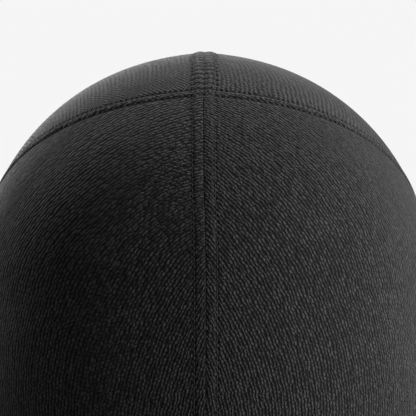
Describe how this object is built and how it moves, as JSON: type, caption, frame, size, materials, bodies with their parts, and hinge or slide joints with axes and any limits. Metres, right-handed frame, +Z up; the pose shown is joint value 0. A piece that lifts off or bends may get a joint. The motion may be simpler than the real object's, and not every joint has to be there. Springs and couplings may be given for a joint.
{
  "type": "racing balaclava",
  "caption": "Close fitting knitted hood with one bound eye opening, raised flat-stitched seams and a flared neck skirt, worn under a helmet.",
  "frame": {"origin": "inside of the crown, where the top of the head seats", "axes": "+Z up, the face looks along -Y, +X is the wearer's left"},
  "size_m": [0.1871, 0.1997, 0.362],
  "materials": {
    "panel_knit": "fine rib knit, matte, black",
    "binding_knit": "folded rib strip, matte, black"
  },
  "bodies": {
    "root": {"crown_left": "panel_knit", "crown_right": "panel_knit", "hood_left": "panel_knit", "hood_right": "panel_knit", "eye_binding": "binding_knit"}
  },
  "joints": []
}
